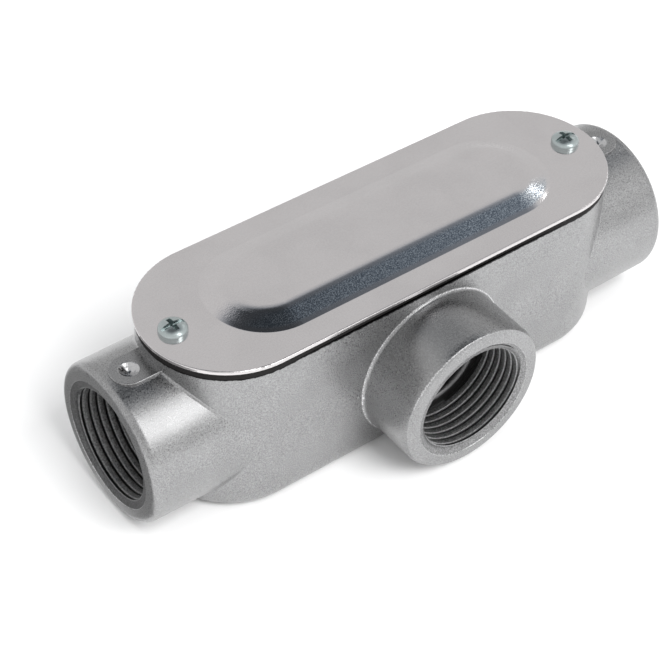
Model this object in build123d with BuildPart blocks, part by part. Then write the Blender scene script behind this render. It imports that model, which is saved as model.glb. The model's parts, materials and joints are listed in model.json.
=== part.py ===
"""Conduit junction box for 1 inch pipe: a die-cast T body with a gasketed, screwed-on cover.

Millimetres. X runs along the straight run, the side hub opens towards -Y, Z is up, and the
origin is on the base plane under the middle of the run.
"""

from build123d import *
from math import radians, tan
import os

# Hubs: tapered bosses with a thread, a shoulder and a smooth throat behind it
run_length = 169.6             # mouth to mouth
thread_radius = 16.6           # wall of the threaded bore
hub_wall = 5.5                 # round the thread, at a mouth
hub_draft = 0.3                # degrees, growing inwards
hub_rim_round = 2.3
hub_root_round = 0.8           # where a hub grows out of the trough
hub_lift = 0.6                 # a mouth's lowest point above the base plane
run_projection = 13.35         # a run hub, from the trough's end to its mouth
branch_projection = 17.65      # the side hub, from the trough's side to its mouth
mouth_chamfer = 1.2
shoulder_width = 3.3           # thread wall to throat
run_throat_length = 3.4        # smooth stretch left between the thread and the trough
branch_throat_length = 4.8
throat_round = 1.2             # lip of the throat, on the thread's side

# Trough: obround, widest at the parting plane that holds the hub axes
side_margin = 1.45             # the trough's side beyond a hub's side
wall = 3.0                     # side and end walls, at the rim
floor_thickness = 3.2
wall_draft = 0.6               # degrees, outside and inside
base_round = 5.0               # outer edge of the base
cavity_round = 3.0             # inner edge of the floor

# Flat pad with a drill spot on top of each run hub
pad_rise = 0.4                 # above the hub's top
pad_below_rim = 2.7
pad_width = 10.4
pad_margin = 2.6               # mouth plane to the pad's tip
pad_edge_round = 0.25
spot_radius = 2.7
spot_depth = 1.7
spot_inset = 7.8               # mouth plane to the spot's axis

# Lugs on the end walls, tapped for the cover screws and cut off below by the throats
screw_inset = 7.45             # the trough's end to a screw's axis
lug_margin = 2.7               # lug round its tapped hole
lug_draft = 1.0                # degrees, growing downwards
tap_depth = 9.0

# Gasket: a flat ring with a widened end round each screw, slightly waisted along its sides
gasket_thickness = 2.0
gasket_inset = 0.4             # behind the cover's edge at the rounded ends
gasket_waist = 0.6             # further inset at the middle of each side
gasket_lap = 0.5               # inner edge, past the wall and the lugs

# Cover: pressed sheet with a raised field
cover_overhang = 0.45          # past the rim
sheet = 1.0
cover_edge_round = 0.3
field_side_flange = 7.2        # flat sheet beside the raised field
field_screw_gap = 10.8         # foot of the raised field to a screw's axis
field_rise = 2.1
field_ramp = 6.2               # foot to the flat top, in plan
field_crown_round = 9.0
field_foot_round = 0.8

# Pan-head screws with a cross and slot drive
screw_radius = 2.05            # over the thread
screw_length = 9.5             # under the head
screw_point = 0.6              # chamfer at the tip
head_radius = 3.8
head_height = 2.4
head_side = 0.7                # straight side below the dome
slot_length = 6.4
slot_width = 1.1
slot_depth = 1.1
cross_span = 4.6
cross_width = 1.3
cross_depth = 1.9
cross_taper = 12.0             # degrees

# Clearances
tapped_clearance = 0.05        # screw in its tapped hole, per side
passing_clearance = 0.25       # screw through the cover and the gasket, per side

# Heights that follow from the sizes above
hub_radius = thread_radius + hub_wall
axis_height = hub_radius + hub_lift
pad_height = axis_height + hub_radius + pad_rise
rim_height = pad_height + pad_below_rim
cover_base = rim_height + gasket_thickness
cover_top = cover_base + sheet

# Trough, cavity and cover outlines, all with round ends
body_length = run_length - 2 * run_projection
body_width = 2 * (hub_radius + side_margin)
end_centre = (body_length - body_width) / 2
draft_inset = (rim_height - axis_height) * tan(radians(wall_draft))
cavity_length = body_length - 2 * (draft_inset + wall)
cavity_width = body_width - 2 * (draft_inset + wall)
cover_length = body_length - 2 * (draft_inset - cover_overhang)
cover_width = body_width - 2 * (draft_inset - cover_overhang)
gasket_radius = cover_width / 2 - gasket_inset

# Places along the run
run_mouth = run_length / 2
branch_mouth = body_width / 2 + branch_projection
throat_radius = thread_radius - shoulder_width
screw_x = body_length / 2 - screw_inset
screw_places = [(-screw_x, 0), (screw_x, 0)]
screw_hole_radius = screw_radius + passing_clearance
tapped_radius = screw_radius + tapped_clearance
lug_radius = tapped_radius + lug_margin
lug_span = body_length / 2 - wall / 2 - screw_x + lug_radius
lug_x = screw_x - lug_radius + lug_span / 2
lug_places = [(-lug_x, 0), (lug_x, 0)]
spot_places = [(spot_inset - run_mouth, 0, pad_height), (run_mouth - spot_inset, 0, pad_height)]
field_length = 2 * (screw_x - field_screw_gap)
field_width = cover_width - 2 * field_side_flange

# Each hub: the plane of its mouth, its length back into the trough, and its thread's depth
run_thread_depth = run_mouth - cavity_length / 2 - run_throat_length
branch_thread_depth = branch_mouth - cavity_width / 2 - branch_throat_length
hubs = [
    (Plane((-run_mouth, 0, axis_height), z_dir=(-1, 0, 0)), run_mouth - end_centre, run_thread_depth),
    (Plane((run_mouth, 0, axis_height), (0, 0, -1), (1, 0, 0)), run_mouth - end_centre, run_thread_depth),
    (Plane((0, -branch_mouth, axis_height), z_dir=(0, -1, 0)), branch_mouth, branch_thread_depth),
]


def outermost_face(part, mouth):
    """The face that lies furthest out along a hub's axis: the flat ring at its mouth."""
    return part.faces().sort_by(Axis(mouth.origin, mouth.z_dir))[-1]


os.makedirs("parts", exist_ok=True)

# Hollow of the casting: trough, lugs left standing, throats and threaded bores
with BuildPart() as hollow:
    with BuildSketch(Plane.XY.offset(rim_height)):
        SlotOverall(cavity_length, cavity_width)
    extrude(amount=floor_thickness - rim_height, taper=wall_draft)
    fillet(hollow.faces().sort_by(Axis.Z)[0].edges(), cavity_round)

    with BuildSketch(Plane.XY.offset(rim_height)):
        with Locations(*lug_places):
            SlotOverall(lug_span, 2 * lug_radius)
    extrude(amount=axis_height - rim_height, taper=-lug_draft, mode=Mode.SUBTRACT)

    for mouth, reach, thread_depth in hubs:
        with BuildSketch(mouth):
            Circle(throat_radius)
        extrude(amount=-reach)
        with BuildSketch(mouth):
            Circle(thread_radius)
        extrude(amount=-thread_depth)
        shoulder_centre = mouth.offset(-thread_depth).origin
        lip = hollow.edges().filter_by(GeomType.CIRCLE).filter_by(
            lambda edge: abs(edge.radius - throat_radius) < 0.01
            and (edge.arc_center - shoulder_centre).length < 0.01
        )
        fillet(lip, throat_round)

# Bar whose two ends show as the flat pads on top of the run hubs
with BuildPart() as pad_bar:
    with BuildSketch(Plane.XY.offset(pad_height)):
        SlotOverall(run_length - 2 * pad_margin, pad_width)
    extrude(amount=axis_height + thread_radius - pad_height)
    fillet(pad_bar.faces().sort_by(Axis.Z)[-1].edges(), pad_edge_round)

# Body casting
with BuildPart() as body_casting:
    # Two drafted halves, back to back on the parting plane
    for half_height in (rim_height - axis_height, -axis_height):
        with BuildSketch(Plane.XY.offset(axis_height)):
            SlotOverall(body_length, body_width)
        extrude(amount=half_height, taper=wall_draft)
    fillet(body_casting.faces().sort_by(Axis.Z)[0].edges(), base_round)

    # Hub bosses, each grown from its mouth back into the trough
    for mouth, reach, thread_depth in hubs:
        with BuildSketch(mouth):
            Circle(hub_radius)
        extrude(amount=-reach, taper=-hub_draft)
    roots = body_casting.edges().filter_by(
        lambda edge: edge.geom_type in (GeomType.BSPLINE, GeomType.ELLIPSE)
    )
    fillet(roots, hub_root_round)
    for mouth, reach, thread_depth in hubs:
        fillet(outermost_face(body_casting, mouth).edges(), hub_rim_round)
    add(pad_bar.part)
    with Locations(*spot_places):
        Cone(0, spot_radius, spot_depth, align=(Align.CENTER, Align.CENTER, Align.MAX), mode=Mode.SUBTRACT)

    # The hollow, with each bore's mouth broken, and a tapped hole down each lug
    add(hollow.part, mode=Mode.SUBTRACT)
    for mouth, reach, thread_depth in hubs:
        chamfer(outermost_face(body_casting, mouth).inner_wires().edges(), mouth_chamfer)
    with BuildSketch(Plane.XY.offset(rim_height)):
        with Locations(*screw_places):
            Circle(tapped_radius)
    extrude(amount=-tap_depth, mode=Mode.SUBTRACT)

# Cover gasket
with BuildPart() as cover_gasket:
    with BuildSketch(Plane.XY.offset(rim_height)):
        with BuildLine():
            for side in (-1, 1):
                ThreePointArc(
                    (-end_centre, side * gasket_radius),
                    (0, side * (gasket_radius - gasket_waist)),
                    (end_centre, side * gasket_radius),
                )
                ThreePointArc(
                    (side * end_centre, -gasket_radius),
                    (side * (end_centre + gasket_radius), 0),
                    (side * end_centre, gasket_radius),
                )
        make_face()
        SlotOverall(cavity_length - 2 * gasket_lap, cavity_width - 2 * gasket_lap, mode=Mode.SUBTRACT)
        with Locations(*lug_places):
            SlotOverall(lug_span + 2 * gasket_lap, 2 * (lug_radius + gasket_lap))
        with Locations(*screw_places):
            Circle(screw_hole_radius, mode=Mode.SUBTRACT)
    extrude(amount=gasket_thickness)

# Raised field of the cover, as it stands above the sheet and as its hollow underside
fields = []
for foot, crown_round in ((cover_top, field_crown_round), (cover_base, field_crown_round - sheet)):
    with BuildPart() as field:
        with BuildSketch(Plane.XY.offset(foot)):
            SlotOverall(field_length, field_width)
        with BuildSketch(Plane.XY.offset(foot + field_rise)):
            SlotOverall(field_length - 2 * field_ramp, field_width - 2 * field_ramp)
        loft()
        fillet(field.faces().sort_by(Axis.Z)[-1].edges(), crown_round)
    fields.append(field.part)

# Cover plate
with BuildPart() as cover_plate:
    with BuildSketch(Plane.XY.offset(cover_base)):
        SlotOverall(cover_length, cover_width)
        with Locations(*screw_places):
            Circle(screw_hole_radius, mode=Mode.SUBTRACT)
    extrude(amount=sheet)
    fillet(cover_plate.faces().sort_by(Axis.Z)[-1].outer_wire().edges(), cover_edge_round)
    add(fields[0])
    add(fields[1], mode=Mode.SUBTRACT)
    for flange_height, foot_round in ((cover_top, field_foot_round), (cover_base, field_foot_round + sheet)):
        flange = cover_plate.faces().filter_by_position(Axis.Z, flange_height, flange_height)[0]
        fillet(flange.inner_wires().sort_by(SortBy.LENGTH)[-1].edges(), foot_round)

# Cover screws
screws = []
for name, (x, y) in zip(("cover_screw_left", "cover_screw_right"), screw_places):
    seat = Plane(origin=(x, y, cover_top))
    with BuildPart() as cover_screw:
        with BuildSketch(Plane(origin=seat.origin, x_dir=(1, 0, 0), z_dir=(0, -1, 0))):
            with BuildLine():
                Polyline(
                    (0, head_height),
                    (0, -screw_length),
                    (screw_radius - screw_point, -screw_length),
                    (screw_radius, screw_point - screw_length),
                    (screw_radius, 0),
                    (head_radius, 0),
                    (head_radius, head_side),
                )
                EllipticalCenterArc((0, head_side), head_radius, head_height - head_side, arc_size=90)
            make_face()
        revolve(axis=Axis(seat.origin, (0, 0, 1)))
        with BuildSketch(seat.offset(head_height)):
            Rectangle(slot_length, slot_width)
        extrude(amount=-slot_depth, mode=Mode.SUBTRACT)
        with BuildSketch(seat.offset(head_height)):
            Rectangle(cross_span, cross_width)
            Rectangle(cross_width, cross_span)
        extrude(amount=-cross_depth, taper=cross_taper, mode=Mode.SUBTRACT)
    screws.append((name, cover_screw.part))

pieces = [
    ("body_casting", body_casting.part),
    ("cover_gasket", cover_gasket.part),
    ("cover_plate", cover_plate.part),
] + screws
for name, piece in pieces:
    piece.label = name
    export_step(piece, f"parts/{name}.step")
    print(name, round(piece.volume / 1000, 2), "cm3")
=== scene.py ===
"""Looks of a die-cast conduit junction box: its finishes with painted shade, reflection and
highlights, its cut threads and casting marks.
"""

import json
from math import cos, e, pi, radians, sin, tan

import bmesh
import bpy
from bpy.props import FloatProperty, FloatVectorProperty, IntProperty, PointerProperty
from mathutils import Matrix, Quaternion, Vector


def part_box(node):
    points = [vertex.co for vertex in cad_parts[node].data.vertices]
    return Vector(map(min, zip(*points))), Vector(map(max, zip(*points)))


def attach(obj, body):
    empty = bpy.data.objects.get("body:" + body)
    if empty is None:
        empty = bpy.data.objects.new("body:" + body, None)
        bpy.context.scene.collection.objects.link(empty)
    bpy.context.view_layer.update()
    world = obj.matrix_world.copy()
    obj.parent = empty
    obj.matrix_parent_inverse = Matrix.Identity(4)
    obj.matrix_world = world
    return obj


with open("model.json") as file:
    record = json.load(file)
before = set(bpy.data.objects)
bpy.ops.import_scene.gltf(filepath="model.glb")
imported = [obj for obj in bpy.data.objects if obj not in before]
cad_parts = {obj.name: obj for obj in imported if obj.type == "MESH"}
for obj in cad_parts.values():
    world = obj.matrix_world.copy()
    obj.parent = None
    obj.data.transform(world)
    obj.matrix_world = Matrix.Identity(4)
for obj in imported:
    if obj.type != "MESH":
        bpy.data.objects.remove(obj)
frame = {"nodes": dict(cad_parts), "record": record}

bl_info = {
    "name": "Conduit junction box",
    "version": (1, 0, 0),
    "blender": (4, 5, 0),
    "location": "3D View > Sidebar > Conduit box",
    "description": "Dresses the packed solids of a T-shaped conduit junction box",
    "category": "Object",
}

MM = 0.001
MOUNTS = {mount["name"]: mount for mount in frame["record"]["mounts"]}
HUBS = ("left_hub", "right_hub", "side_hub")
SCREWS = ("cover_screw_left", "cover_screw_right")

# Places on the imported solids, in the row's frame
CASTING_LOW, CASTING_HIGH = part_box("body_casting")
RUN_MOUTH = CASTING_HIGH[0]
SIDE_MOUTH = -CASTING_LOW[1]
RIM_HEIGHT = CASTING_HIGH[2]
AXIS_HEIGHT = MOUNTS["side_hub"]["pos_m"][2]
BORE = MOUNTS["side_hub"]["dims"]["r_mm"] * MM
BORE_LENGTH = MOUNTS["side_hub"]["dims"]["length_mm"] * MM
MOUTH_CHAMFER = SIDE_MOUTH + MOUNTS["side_hub"]["pos_m"][1] - BORE_LENGTH / 2
SPOT_PLACE = (77.0 * MM, 0, 45.2 * MM)
SPOT_RADIUS = 2.7 * MM
SHEET_TOP = 50.9 * MM
FIELD_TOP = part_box("cover_plate")[1][2]


# Shader maths

class Value:
    """One output of a node. Python's operators on it add Math nodes."""

    def __init__(self, tree, socket):
        self.tree = tree
        self.socket = socket

    def maths(self, operation, *terms):
        names = ("Value", "Value_001", "Value_002")
        return self.tree.node("ShaderNodeMath", {"operation": operation}, dict(zip(names, terms)))

    def __add__(self, other):
        return self.maths("ADD", self, other)

    __radd__ = __add__

    def __sub__(self, other):
        return self.maths("SUBTRACT", self, other)

    def __rsub__(self, other):
        return self.maths("SUBTRACT", other, self)

    def __mul__(self, other):
        return self.maths("MULTIPLY", self, other)

    __rmul__ = __mul__

    def __truediv__(self, other):
        return self.maths("DIVIDE", self, other)

    def __pow__(self, other):
        return self.maths("POWER", self, other)

    def __abs__(self):
        return self.maths("ABSOLUTE", self)

    def larger(self, other):
        return self.maths("MAXIMUM", self, other)

    def smaller(self, other):
        return self.maths("MINIMUM", self, other)

    def softly_smaller(self, other, blend):
        return self.maths("SMOOTH_MIN", self, other, blend)

    def logarithm(self):
        return self.maths("LOGARITHM", self, e)


class Shading:
    """The node tree of a material or of the world, emptied and then built up through node()."""

    def __init__(self, owner):
        owner.use_nodes = True
        self.nodes = owner.node_tree.nodes
        self.links = owner.node_tree.links
        self.nodes.clear()

    def node(self, kind, settings=None, inputs=None, output=None):
        """Adds a node and returns its first output, or the one that is named."""
        made = self.nodes.new(kind)
        for name, value in (settings or {}).items():
            setattr(made, name, value)
        for name, value in (inputs or {}).items():
            socket = next(s for s in made.inputs if s.identifier == name)
            if isinstance(value, Value):
                self.links.new(value.socket, socket)
            else:
                socket.default_value = value
        return Value(self, next(s for s in made.outputs if output in (None, s.identifier)))

    def place(self, kind="Object"):
        return self.node("ShaderNodeTexCoord", None, None, kind)

    def split(self, vector):
        first = self.node("ShaderNodeSeparateXYZ", None, {"Vector": vector})
        return [Value(self, socket) for socket in first.socket.node.outputs]

    def mirrored(self, vector):
        """The vector with each part made positive."""
        return self.node("ShaderNodeVectorMath", {"operation": "ABSOLUTE"}, {"Vector": vector})

    def grain(self, vector, size, detail=2.0, roughness=0.5):
        inputs = {"Vector": vector, "Scale": 1 / size, "Detail": detail, "Roughness": roughness}
        return self.node("ShaderNodeTexNoise", None, inputs, "Fac")

    def step(self, value, low, high, to_low=0.0, to_high=1.0):
        """A smooth change from to_low to to_high while value goes from low to high."""
        inputs = {
            "Value": value, "From Min": low, "From Max": high, "To Min": to_low, "To Max": to_high,
        }
        return self.node("ShaderNodeMapRange", {"interpolation_type": "SMOOTHSTEP"}, inputs)

    def between(self, value, start, full, fade, end):
        """1 from full to fade, falling to 0 at start and at end."""
        return self.step(value, start, full) * self.step(value, end, fade)

    def line(self, value, middle, edge, core):
        """1 within core of a middle value, falling to 0 at edge."""
        return self.step(abs(value - middle), edge, core)

    def ball(self, vector, point, edge, core):
        """1 within core of a point, falling to 0 at edge."""
        inputs = {"Vector": vector, "Vector_001": point}
        settings = {"operation": "DISTANCE"}
        distance = self.node("ShaderNodeVectorMath", settings, inputs, "Value")
        return self.step(distance, edge, core)

    def mix(self, factor, first, second):
        def colour(value):
            return value if isinstance(value, Value) else (*value, 1.0)

        inputs = {"Factor_Float": factor, "A_Color": colour(first), "B_Color": colour(second)}
        return self.node("ShaderNodeMix", {"data_type": "RGBA"}, inputs, "Result_Color")

    def bump(self, height, depth, strength, normal=None):
        inputs = {"Height": height, "Distance": depth, "Strength": strength}
        if normal is not None:
            inputs["Normal"] = normal
        return self.node("ShaderNodeBump", None, inputs)

    def surface(self, inputs):
        shader = self.node("ShaderNodeBsdfPrincipled", None, inputs)
        self.finish("ShaderNodeOutputMaterial", shader)

    def finish(self, kind, shader):
        end = self.nodes.new(kind)
        self.links.new(shader.socket, end.inputs["Surface"])


def new_finish(name):
    material = bpy.data.materials.new(name)
    return material, Shading(material)


def dress(piece, material):
    piece.data.materials.clear()
    piece.data.materials.append(material)


def times(share, colour):
    return [share * part for part in colour]


# Meshes

def add_piece(name, mesh, material):
    """Links a finished mesh as a piece of the box."""
    piece = bpy.data.objects.new(name, mesh)
    bpy.context.scene.collection.objects.link(piece)
    dress(piece, material)
    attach(piece, "root")
    return piece


def hub_frame(hub):
    """The matrix of a hub: origin at the outer end of its bore's wall, Z out of the mouth."""
    mount = MOUNTS[hub]
    outward = Vector(mount["axis"])
    end = Vector(mount["pos_m"]) + outward * mount["dims"]["length_mm"] * MM / 2
    across = Vector((0, 0, 1)).cross(outward)
    up = outward.cross(across)
    turned = Matrix((across, up, outward)).transposed().to_4x4()
    return Matrix.Translation(end) @ turned


def sweep(rings):
    """A closed mesh skinned over rings of points that all have the same number of points."""
    same_point = 0.002 * MM
    form = bmesh.new()
    skins = [[form.verts.new(point) for point in ring] for ring in rings]
    count = len(rings[0])
    for before, after in zip(skins, skins[1:]):
        for i in range(count):
            j = (i + 1) % count
            form.faces.new((before[i], before[j], after[j], after[i]))
    form.faces.new(reversed(skins[0]))
    form.faces.new(skins[-1])
    bmesh.ops.remove_doubles(form, verts=form.verts, dist=same_point)
    bmesh.ops.recalc_face_normals(form, faces=form.faces)
    mesh = bpy.data.meshes.new("skin")
    form.to_mesh(mesh)
    form.free()
    return mesh


# Settings

class ThreadSettings(bpy.types.PropertyGroup):
    pitch: FloatProperty(
        name="Pitch", description="Distance between crests", default=2.209 * MM, unit="LENGTH",
    )
    height: FloatProperty(
        name="Height", description="Crest over the bore's wall, at the wall's outer end",
        default=1.15 * MM, unit="LENGTH",
    )
    crest_flat: FloatProperty(
        name="Crest flat", description="Width of a crest", default=1.30 * MM, unit="LENGTH",
    )
    start: FloatProperty(
        name="Start", description="Depth of the ridge's first section behind the bore's outer end",
        default=-2.2 * MM, unit="LENGTH",
    )
    phase: FloatProperty(
        name="Phase", description="Angle of the ridge's first section", default=radians(146),
        unit="ROTATION",
    )
    flank_angle: FloatProperty(
        name="Flank", description="Half the thread's angle", default=radians(30), unit="ROTATION",
    )
    taper: FloatProperty(
        name="Taper", description="Fall of the crest's radius for each unit of depth",
        default=1 / 32,
    )
    lead_in: FloatProperty(
        name="Lead-in", description="Half the angle of the cone that cuts the first crests",
        default=radians(75), unit="ROTATION",
    )
    steps: IntProperty(name="Steps", description="Sections in each turn", default=120)


class CastingSettings(bpy.types.PropertyGroup):
    colour: FloatVectorProperty(
        name="Colour", description="Blasted grey aluminium", subtype="COLOR",
        default=(0.355, 0.355, 0.358),
    )
    grain: FloatProperty(
        name="Grain", description="Size of the blasted grain", default=0.33 * MM, unit="LENGTH",
    )
    roughness: FloatProperty(name="Roughness", description="Spread of its gloss", default=0.33)


class CoverSettings(bpy.types.PropertyGroup):
    colour: FloatVectorProperty(
        name="Colour", description="Bright plated sheet", subtype="COLOR",
        default=(0.70, 0.675, 0.678),
    )
    roughness: FloatProperty(name="Roughness", description="Spread of its gloss", default=0.13)


class GasketSettings(bpy.types.PropertyGroup):
    colour: FloatVectorProperty(
        name="Colour", description="Black rubber", subtype="COLOR", default=(0.010, 0.009, 0.009),
    )


class ScrewSettings(bpy.types.PropertyGroup):
    colour: FloatVectorProperty(
        name="Colour", description="Zinc plating", subtype="COLOR", default=(0.52, 0.58, 0.58),
    )


class StageSettings(bpy.types.PropertyGroup):
    camera_place: FloatVectorProperty(
        name="Camera", description="Where the camera stands", subtype="TRANSLATION",
        default=(-0.237121, -0.283610, 0.370574),
    )
    camera_aim: FloatVectorProperty(
        name="Aim", description="What the camera looks at", subtype="TRANSLATION",
        default=(-0.015017, -0.000768, 0.023198),
    )
    camera_roll: FloatProperty(
        name="Roll", description="Tilt of the frame", default=radians(1.901), unit="ROTATION",
    )
    lens: FloatProperty(
        name="Lens", description="Focal length, in millimetres", default=101.95,
    )
    floor_size: FloatProperty(
        name="Floor", description="Width of the floor", default=6.0, unit="LENGTH",
    )
    floor_colour: FloatVectorProperty(
        name="Floor colour", description="Matte white", subtype="COLOR",
        default=(0.90, 0.90, 0.90),
    )


# Masks on the casting

def behind_mouths(shade, place):
    """Depth behind the mouth and distance from the hub's axis: end hubs first, then side hub."""
    x, y, z = shade.split(place)
    rise = z - AXIS_HEIGHT
    along_run = (RUN_MOUTH - abs(x), (y * y + rise * rise) ** 0.5)
    along_side = (y + SIDE_MOUTH, (x * x + rise * rise) ** 0.5)
    return along_run, along_side


def inside_hubs(shade, place):
    """1 on the bores and throats, 0 outside them; the casting is darkened there as painted shade.
    """
    inner_reach = BORE + 0.05 * MM
    outer_reaches = (BORE + 0.8 * MM, BORE + 0.3 * MM)
    lit, dark = 0.3 * MM, 0.8 * MM
    throat_fade, throat_end = 30 * MM, 34 * MM
    masks = [
        shade.step(reach, outer_reach, inner_reach)
        * shade.between(depth, lit, dark, throat_fade, throat_end)
        for (depth, reach), outer_reach in zip(behind_mouths(shade, place), outer_reaches)
    ]
    return masks[0].larger(masks[1])


def crisp_rim(shade, place):
    """A height that makes the rounded rim of the side hub's mouth look sharper than it is."""
    rim_round = 2.3 * MM
    face_edge = 19.8 * MM
    rim_fade, rim_end = 4 * MM, 5 * MM
    least = 0.05
    blend = 0.25
    depth, reach = behind_mouths(shade, place)[1]
    cosine = (1 - depth / rim_round).larger(least).smaller(1)
    sine = ((reach - face_edge) / rim_round).larger(least).smaller(1)
    height = (0 - cosine.logarithm()).softly_smaller(0 - sine.logarithm(), blend)
    near_rim = shade.step(reach, face_edge - 1.0 * MM, face_edge - 0.5 * MM)
    return height * near_rim * shade.step(depth, rim_end, rim_fade) * rim_round


def near_spots(shade, place):
    """1 on the drill spots of the pads, 0 away from them."""
    edge, core = SPOT_RADIUS + 0.1 * MM, SPOT_RADIUS - 0.2 * MM
    return shade.ball(shade.mirrored(place), SPOT_PLACE, edge, core)


def marks_and_edge_highlights(shade, place, fine):
    """1 on a small bright die mark and on broken thin lines along the side hub's root and rim and
    the mouths' inner edges, which are painted highlights, in part a flash line and a burr; 0 away
    from them.
    """
    star_place = (-22.3 * MM, -23.5 * MM, 22.2 * MM)
    tail_place = (-24.0 * MM, -23.5 * MM, 23.2 * MM)
    root_reach, burr_reach, lip_reach = 22.7 * MM, 21.4 * MM, 17.7 * MM
    root_depths = (15.6 * MM, 16.2 * MM, 18.5 * MM, 19.5 * MM)
    burr_highlight_strength, run_lip_highlight_strength, side_lip_highlight_strength = 0.6, 0.7, 0.4
    star = shade.ball(place, star_place, edge=0.75 * MM, core=0.2 * MM)
    tail = shade.ball(place, tail_place, edge=0.5 * MM, core=0.1 * MM)

    run, side = behind_mouths(shade, place)
    depth, reach = side
    # Painted highlight along the side hub's root, in part a flash line.
    root = shade.line(reach, root_reach, edge=0.22 * MM, core=0.06 * MM)
    root = root * shade.between(depth, *root_depths)

    x, _, z = shade.split(place)
    rise = z - AXIS_HEIGHT
    # Painted highlight of a machining burr, only on the upper left of the side hub's rim, where
    # light falls.
    upper_left = shade.step(rise - x, 12 * MM, 22 * MM) * shade.step(rise, 6 * MM, 12 * MM)
    burr_highlight = shade.line(reach, burr_reach, edge=0.25 * MM, core=0.05 * MM)
    burr_highlight = burr_highlight * shade.step(depth, 1.6 * MM, 1.2 * MM) * upper_left

    # Painted highlights on the inner edges of all the mouths.
    run_lip_highlight, side_lip_highlight = [
        shade.line(reach, lip_reach, edge=0.25 * MM, core=0.05 * MM)
        * shade.step(depth, 0.7 * MM, 0.3 * MM)
        for depth, reach in (run, side)
    ]
    edge_highlights = (root + burr_highlight * burr_highlight_strength).larger(run_lip_highlight * run_lip_highlight_strength)
    broken = shade.step(fine, 0.42, 0.58)
    return star.larger(tail).larger(edge_highlights.larger(side_lip_highlight * side_lip_highlight_strength) * broken)


def squeezed_rubber_and_shadow(shade, place):
    """1 on a ragged band at the top of the rim, rubber pressed out from under the cover and
    painted shadow under the cover's edge; 0 below it.
    """
    ragged_size, ragged_height = 1.2 * MM, 0.8 * MM
    band_start, band_full = RIM_HEIGHT - 0.6 * MM, RIM_HEIGHT - 0.35 * MM
    height = shade.split(place)[2]
    ragged = height + (shade.grain(place, ragged_size) - 0.5) * ragged_height
    return shade.step(ragged, band_start, band_full)


# Finishes

def casting_finish():
    """Blasted grey aluminium, with painted shade in the bores, bare metal on the drill spots and
    painted highlights on some edges.
    """
    look = bpy.context.scene.conduit_casting
    cloud_size, facet_size = 9 * MM, 1.4 * MM
    pit_depth, facet_depth = 0.024 * MM, 0.3 * MM
    rubber_and_shadow_black = (0.01, 0.01, 0.01)
    dull, light, painted_bore_shade, bare_metal_and_highlight = (times(share, look.colour) for share in (0.82, 1.30, 0.5, 2.3))
    material, shade = new_finish("blasted_casting")
    place = shade.place()
    fine = shade.grain(place, look.grain)
    speckle = shade.step(shade.grain(place, look.grain, detail=1.0), 0.28, 0.72)
    cloud = shade.step(shade.grain(place, cloud_size), 0.3, 0.7)
    facets = shade.grain(place, facet_size, detail=0.0)
    inside = inside_hubs(shade, place)
    spot = near_spots(shade, place)
    marks_and_highlights = marks_and_edge_highlights(shade, place, fine)

    colour = shade.mix(speckle ** 1.6 * 0.85 + cloud * 0.15, dull, light)
    # Painted shade: the bores and throats are darkened to half the casting's colour.
    colour = shade.mix(inside, colour, painted_bore_shade)
    # Bare metal on the drill spots and the die mark, and painted highlights along the hub edges.
    colour = shade.mix((spot * 0.5).larger(marks_and_highlights), colour, bare_metal_and_highlight)
    # Squeezed-out rubber and painted shadow: a ragged black band just under the cover.
    colour = shade.mix(squeezed_rubber_and_shadow(shade, place), colour, rubber_and_shadow_black)
    rim = shade.bump(crisp_rim(shade, place), 1.0, strength=0.8)
    pits = shade.bump(fine, pit_depth, 0.9, normal=rim)
    shade.surface({
        "Base Color": colour,
        "Metallic": 1.0,
        "Roughness": look.roughness + (speckle - 0.5) * 0.14 + inside * 0.12 - spot * 0.15,
        "Normal": shade.bump(facets * spot, facet_depth, 0.7, normal=pits),
    })
    return material


def thread_finish():
    """Torn, coarsely cut aluminium, with painted shade in the grooves."""
    look = bpy.context.scene.conduit_casting
    thread = bpy.context.scene.conduit_threads
    tear_size, tear_depth = 0.45 * MM, 0.12 * MM
    crest = BORE - thread.height
    unshaded_reach, shaded_reach = crest + 0.10 * MM, crest + 0.40 * MM
    first_crest, second_crest = 0.6 * MM, 1.4 * MM
    thread_fade, thread_end = 18 * MM, 20 * MM
    groove_shade_at_mouths, groove_shade_inside = (0.55, 0.25), 0.95
    dull, light, painted_groove_shade = (times(share, look.colour) for share in (0.65, 1.5, 0.12))
    material, shade = new_finish("cut_thread")
    place = shade.place()
    fine = shade.grain(place, tear_size, detail=3.0, roughness=0.6)
    # Painted shade: the grooves are darkened, less so at the first crests by the mouths.
    groove_shade = [
        shade.step(reach + (depth - MOUTH_CHAMFER) * thread.taper, unshaded_reach, shaded_reach)
        * shade.step(depth, thread_end, thread_fade)
        * shade.step(depth, first_crest, second_crest, at_mouth, groove_shade_inside)
        for (depth, reach), at_mouth in zip(behind_mouths(shade, place), groove_shade_at_mouths)
    ]
    colour = shade.mix(shade.step(fine, 0.3, 0.7), dull, light)
    shade.surface({
        "Base Color": shade.mix(groove_shade[0].larger(groove_shade[1]), colour, painted_groove_shade),
        "Metallic": 1.0,
        "Roughness": 0.50 + (fine - 0.5) * 0.2,
        "Normal": shade.bump(fine, tear_depth, 1.0),
    })
    return material


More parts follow.
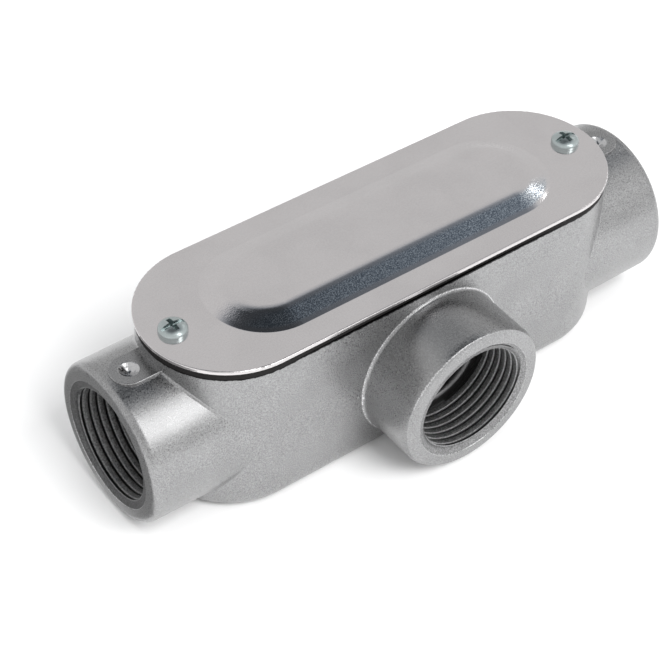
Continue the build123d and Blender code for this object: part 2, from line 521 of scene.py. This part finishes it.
def cover_finish():
    """Bright plated sheet, bumpier on its slopes, with a painted dark reflection speckled with
    painted glints on the front slope.
    """
    look = bpy.context.scene.conduit_cover
    cloud_size, fine_size, spark_size = 14 * MM, 0.45 * MM, 0.3 * MM
    skin_depth = 0.03 * MM
    slope_bounds = (
        SHEET_TOP + 0.2 * MM, SHEET_TOP + 0.6 * MM, FIELD_TOP - 0.5 * MM, FIELD_TOP - 0.1 * MM,
    )
    front_start, front_full = -7 * MM, -12 * MM
    reflection_dark, reflection_glint = (0.30, 0.34, 0.39), (0.93, 0.97, 1.0)
    material, shade = new_finish("plated_sheet")
    place = shade.place()
    cloud = shade.grain(place, cloud_size, detail=3.0)
    fine = shade.grain(place, fine_size, roughness=0.6)
    _, y, z = shade.split(place)
    slope = shade.between(z, *slope_bounds)
    painted_front_reflection = slope * shade.step(y, front_start, front_full)
    reflection_speckle = shade.step(shade.grain(place, spark_size, detail=1.0), 0.35, 0.68)

    tone = shade.step(cloud, 0.35, 0.65) * 0.5 + shade.step(fine, 0.3, 0.7) * 0.5
    colour = shade.mix(tone, times(0.94, look.colour), times(1.03, look.colour))
    # Painted reflection: the front slope is coloured dark blue-black with light speckles, for the
    # dark overhead that it reflects.
    colour = shade.mix(painted_front_reflection, colour, shade.mix(reflection_speckle, reflection_dark, reflection_glint))
    shade.surface({
        "Base Color": colour,
        "Metallic": 1.0,
        "Roughness": look.roughness + (cloud - 0.5) * 0.06,
        "Normal": shade.bump(fine * (0.2 + slope), skin_depth, 0.8),
    })
    return material


def rubber_finish():
    """Matte black rubber."""
    look = bpy.context.scene.conduit_gasket
    material, shade = new_finish("black_rubber")
    fine = shade.grain(shade.place(), 0.4 * MM, detail=3.0)
    shade.surface({
        "Base Color": shade.mix(fine, times(0.7, look.colour), times(1.4, look.colour)),
        "Roughness": 0.7 + fine * 0.15,
        "Specular IOR Level": 0.25,
        "Normal": shade.bump(fine, 0.05 * MM, 0.6),
    })
    return material


def zinc_finish():
    """Cool, slightly cloudy zinc plating."""
    look = bpy.context.scene.conduit_screws
    material, shade = new_finish("zinc_plating")
    fine = shade.grain(shade.place(), 0.6 * MM, detail=3.0)
    shade.surface({
        "Base Color": shade.mix(fine, times(0.85, look.colour), look.colour),
        "Metallic": 1.0,
        "Roughness": 0.24 + fine * 0.14,
        "Normal": shade.bump(fine, 0.02 * MM, 0.4),
    })
    return material


# Pieces

def ridge_half(look, crest, foot):
    """Half of the ridge's section, from its crest down to its foot: offset and radius."""
    crest_round = 0.1 * MM
    corner_drop = 0.2
    half_flat = look.crest_flat / 2
    half_foot = half_flat + (foot - crest) * tan(look.flank_angle)
    round_up = min(crest_round, foot - crest)
    round_out = round_up * tan(look.flank_angle)
    return [
        (half_flat - crest_round, crest), (half_flat, crest + round_up * corner_drop),
        (half_flat + round_out, crest + round_up), (half_foot, foot),
    ]


def thread_ridge(hub, look):
    """One right-handed ridge wound down a hub's bore, cut at its mouth by the lead-in cone."""
    dims = MOUNTS[hub]["dims"]
    wall = dims["r_mm"] * MM
    depth = dims["length_mm"] * MM
    foot = wall + 0.15 * MM
    mouth_reach = 1.1 * MM
    cone_start = wall + mouth_reach + 0.05 * MM
    runout_turns = 0.7
    crease = radians(35)
    count = int((depth - look.start) / look.pitch * look.steps)
    rings = []
    for i in range(count + 1):
        angle = look.phase - 2 * pi * i / look.steps
        centre = look.start + look.pitch * i / look.steps
        full_crest = wall - look.height - look.taper * centre
        fade = min(1.0, (count - i) / look.steps / runout_turns)
        crest = foot - (foot - full_crest) * fade * fade * (3 - 2 * fade)
        half = ridge_half(look, crest, foot)
        ring = []
        for offset, radius in [(-offset, radius) for offset, radius in reversed(half)] + half:
            down = min(max(centre + offset, -mouth_reach), depth)
            radius = max(radius, cone_start - (down + mouth_reach) * tan(look.lead_in))
            ring.append((radius * cos(angle), radius * sin(angle), -down))
        rings.append(ring)
    mesh = sweep(rings)
    mesh.transform(hub_frame(hub))
    mesh.shade_smooth()
    mesh.set_sharp_from_angle(angle=crease)
    return mesh


class CONDUIT_OT_threads(bpy.types.Operator):
    """Winds a cut thread down each hub's bore"""
    bl_idname = "conduit.threads"
    bl_label = "Threads"

    def execute(self, context):
        material = thread_finish()
        for hub in HUBS:
            mesh = thread_ridge(hub, context.scene.conduit_threads)
            mesh.name = f"{hub}_thread"
            add_piece(f"{hub}_thread", mesh, material)
        return {"FINISHED"}


class CONDUIT_OT_casting(bpy.types.Operator):
    """Gives the cast body its blasted finish"""
    bl_idname = "conduit.casting"
    bl_label = "Casting"

    def execute(self, context):
        dress(frame["nodes"]["body_casting"], casting_finish())
        return {"FINISHED"}


class CONDUIT_OT_cover(bpy.types.Operator):
    """Gives the pressed cover its plated finish"""
    bl_idname = "conduit.cover"
    bl_label = "Cover"

    def execute(self, context):
        dress(frame["nodes"]["cover_plate"], cover_finish())
        return {"FINISHED"}


class CONDUIT_OT_gasket(bpy.types.Operator):
    """Gives the gasket its rubber"""
    bl_idname = "conduit.gasket"
    bl_label = "Gasket"

    def execute(self, context):
        dress(frame["nodes"]["cover_gasket"], rubber_finish())
        return {"FINISHED"}


class CONDUIT_OT_screws(bpy.types.Operator):
    """Plates the two cover screws"""
    bl_idname = "conduit.screws"
    bl_label = "Screws"

    def execute(self, context):
        material = zinc_finish()
        for name in SCREWS:
            dress(frame["nodes"][name], material)
        return {"FINISHED"}


# Stage

def add_camera(look):
    data = bpy.data.cameras.new("camera")
    data.lens = look.lens
    data.sensor_width = 36.0
    data.sensor_fit = "HORIZONTAL"
    camera = bpy.data.objects.new("camera", data)
    place = Vector(look.camera_place)
    turn = (Vector(look.camera_aim) - place).to_track_quat("-Z", "Y")
    turn = turn @ Quaternion((0, 0, 1), look.camera_roll)
    camera.matrix_world = Matrix.Translation(place) @ turn.to_matrix().to_4x4()
    bpy.context.scene.collection.objects.link(camera)
    bpy.context.scene.camera = camera


def add_panel_light(name, lit, direction, distance, width, height, power):
    """A panel that faces the origin and reaches only gloss or only matte surfaces, as lit says."""
    data = bpy.data.lights.new(name, "AREA")
    data.shape = "RECTANGLE"
    data.size = width
    data.size_y = height
    data.energy = power
    light = bpy.data.objects.new(name, data)
    place = Vector(direction).normalized() * distance
    turn = (-place).to_track_quat("-Z", "Y").to_matrix().to_4x4()
    light.matrix_world = Matrix.Translation(place) @ turn
    light.visible_camera = False
    light.visible_glossy = lit == "gloss"
    light.visible_diffuse = lit == "matte"
    bpy.context.scene.collection.objects.link(light)


def add_sheet(name, material, left, right, front, back, height):
    """A flat rectangle for the stage."""
    corners = [(left, front), (right, front), (right, back), (left, back)]
    mesh = bpy.data.meshes.new(name)
    mesh.from_pydata([(x, y, height) for x, y in corners], [], [(0, 1, 2, 3)])
    sheet = bpy.data.objects.new(name, mesh)
    bpy.context.scene.collection.objects.link(sheet)
    dress(sheet, material)
    return sheet


def add_floor(look):
    material, shade = new_finish("white_floor")
    faint = shade.grain(shade.place(), 0.1)
    colour = shade.mix(faint, times(0.99, look.floor_colour), look.floor_colour)
    shade.surface({"Base Color": colour, "Roughness": 0.9, "Specular IOR Level": 0.0})
    half = look.floor_size / 2
    floor = add_sheet("floor", material, left=-half, right=half, front=-half, back=half, height=0)


def add_shade_card():
    """A dark card lying behind the left hub's mouth, seen only in reflections, where it stands for
    the shaded floor: a painted reflection of shade.
    """
    material, shade = new_finish("dark_card")
    faint = shade.grain(shade.place(), 0.1)
    colour = shade.mix(faint, (0.26, 0.26, 0.26), (0.28, 0.28, 0.28))
    shade.surface({"Base Color": colour, "Roughness": 0.9})
    shade_card = add_sheet(
        "left_flag", material, left=-0.30, right=-0.088, front=-0.02, back=0.16, height=0.2 * MM,
    )
    shade_card.visible_camera = False
    shade_card.visible_diffuse = False
    shade_card.visible_shadow = False


def add_surroundings():
    """A white studio, duller behind, with a dark opening overhead for the cover to reflect."""
    front_level, top_level = 0.92, 0.80
    back_left_level, back_right_level = 0.78, 0.69
    opening_level, opening_right_level = 0.05, 0.24
    white, opening_tint = (1.0, 1.0, 1.0), (0.85, 0.95, 1.08)
    world = bpy.data.worlds.new("studio")
    bpy.context.scene.world = world
    shade = Shading(world)
    x, y, z = shade.split(shade.place("Generated"))
    behind = shade.step(y, -0.2, 0.4)
    opening = shade.step(z, 0.72, 0.82) * shade.step(x, -0.45, -0.15)
    opening = opening * shade.between(y, -0.25, 0.0, 0.34, 0.58)

    front = shade.step(z, 0.0, 0.80, front_level, top_level)
    back = shade.step(x, -0.5, 0.3, back_left_level, back_right_level)
    dark = shade.step(x, 0.34, 0.56, opening_level, opening_right_level)
    walls = front * (1 - behind) + back * behind
    level = walls * (1 - opening) + dark * opening
    tint = shade.mix(opening, white, opening_tint)
    background = shade.node("ShaderNodeBackground", None, {"Color": tint, "Strength": level})
    shade.finish("ShaderNodeOutputWorld", background)


class CONDUIT_OT_stage(bpy.types.Operator):
    """Sets the floor, the studio's light and the camera"""
    bl_idname = "conduit.stage"
    bl_label = "Stage"

    def execute(self, context):
        look = context.scene.conduit_stage
        context.scene.view_settings.view_transform = "Standard"
        add_floor(look)
        add_surroundings()
        add_shade_card()
        add_panel_light(
            "floor_light", "matte", direction=(0.05, -0.75, 0.95), distance=1.6,
            width=0.8, height=0.8, power=21,
        )
        add_panel_light(
            "overhead", "matte", direction=(0.0, 0.1, 1.0), distance=1.8,
            width=1.6, height=1.6, power=8,
        )
        add_panel_light(
            "front_key", "gloss", direction=(0.24, -0.66, 0.70), distance=1.5,
            width=0.4, height=1.0, power=4.4,
        )
        add_panel_light(
            "right_spot", "gloss", direction=(0.74, 0.17, 0.65), distance=1.5,
            width=0.08, height=0.08, power=0.15,
        )
        add_camera(look)
        return {"FINISHED"}


class CONDUIT_PT_panel(bpy.types.Panel):
    """The box's pieces and stage, each with its settings"""
    bl_idname = "CONDUIT_PT_panel"
    bl_label = "Conduit junction box"
    bl_space_type = "VIEW_3D"
    bl_region_type = "UI"
    bl_category = "Conduit box"

    def draw(self, context):
        for operator, settings in STEPS:
            column = self.layout.box().column()
            column.operator(operator.bl_idname)
            group = getattr(context.scene, settings)
            for name in group.bl_rna.properties.keys():
                if name not in ("rna_type", "name"):
                    column.prop(group, name)


STEPS = (
    (CONDUIT_OT_casting, "conduit_casting"),
    (CONDUIT_OT_threads, "conduit_threads"),
    (CONDUIT_OT_cover, "conduit_cover"),
    (CONDUIT_OT_gasket, "conduit_gasket"),
    (CONDUIT_OT_screws, "conduit_screws"),
    (CONDUIT_OT_stage, "conduit_stage"),
)
SETTINGS = {
    "conduit_casting": CastingSettings,
    "conduit_threads": ThreadSettings,
    "conduit_cover": CoverSettings,
    "conduit_gasket": GasketSettings,
    "conduit_screws": ScrewSettings,
    "conduit_stage": StageSettings,
}


def register():
    for name, group in SETTINGS.items():
        bpy.utils.register_class(group)
        setattr(bpy.types.Scene, name, PointerProperty(type=group))
    for operator, _ in STEPS:
        bpy.utils.register_class(operator)
    bpy.utils.register_class(CONDUIT_PT_panel)


def unregister():
    bpy.utils.unregister_class(CONDUIT_PT_panel)
    for operator, _ in reversed(STEPS):
        bpy.utils.unregister_class(operator)
    for name, group in reversed(SETTINGS.items()):
        delattr(bpy.types.Scene, name)
        bpy.utils.unregister_class(group)


def main():
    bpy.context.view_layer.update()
    register()
    bpy.ops.conduit.casting()
    bpy.ops.conduit.threads()
    bpy.ops.conduit.cover()
    bpy.ops.conduit.gasket()
    bpy.ops.conduit.screws()
    bpy.ops.conduit.stage()


if __name__ == "__main__":
    main()
